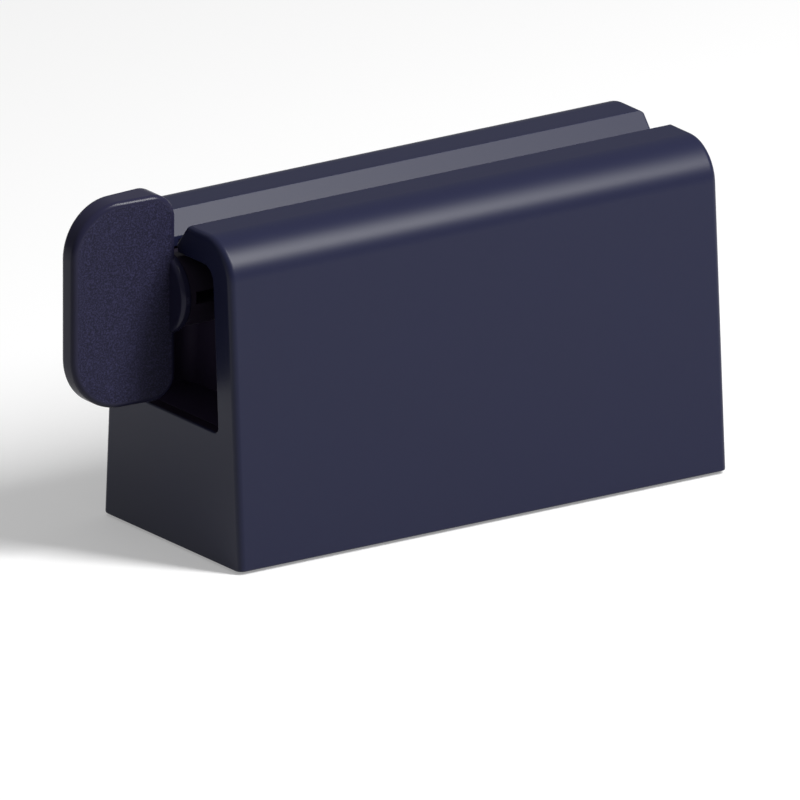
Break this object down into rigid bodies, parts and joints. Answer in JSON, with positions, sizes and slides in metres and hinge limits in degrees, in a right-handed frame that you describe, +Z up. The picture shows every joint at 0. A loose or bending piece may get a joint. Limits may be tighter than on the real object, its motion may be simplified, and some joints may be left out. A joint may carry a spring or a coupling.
{
  "type": "toothpaste dispenser",
  "caption": "Free-standing toothpaste dispenser: a tapered housing with a slotted V mouth and a split winding shaft turned by a thumb paddle.",
  "frame": {"origin": "middle of the housing's footprint, on the surface that the foot pads stand on", "axes": "+X along the winding shaft, away from the paddle; +Y to the rear; +Z up"},
  "size_m": [0.1099, 0.0374, 0.0579],
  "materials": {
    "housing_shell": "satin moulded plastic, dark navy",
    "inner_moulding": "satin moulded plastic, darker navy",
    "winding_shaft": "smooth moulded plastic, dark navy",
    "grip": "fine spark-textured faces, smooth rim, dark navy",
    "foot_pads": "soft matt elastomer, near black"
  },
  "bodies": {
    "base": {"housing": "housing_shell", "left_bearing_block": "inner_moulding", "right_bearing_block": "inner_moulding", "foot_pad_front_left": "foot_pads", "foot_pad_front_right": "foot_pads", "foot_pad_rear_left": "foot_pads", "foot_pad_rear_right": "foot_pads"},
    "rotor": {"roller": "winding_shaft", "knob": "grip"}
  },
  "joints": [
    {"name": "roller_turn", "type": "hinge", "parent": "base", "child": "rotor", "pos_m": [0, 0, 0.0413], "axis": [1, 0, 0], "continuous": true}
  ]
}
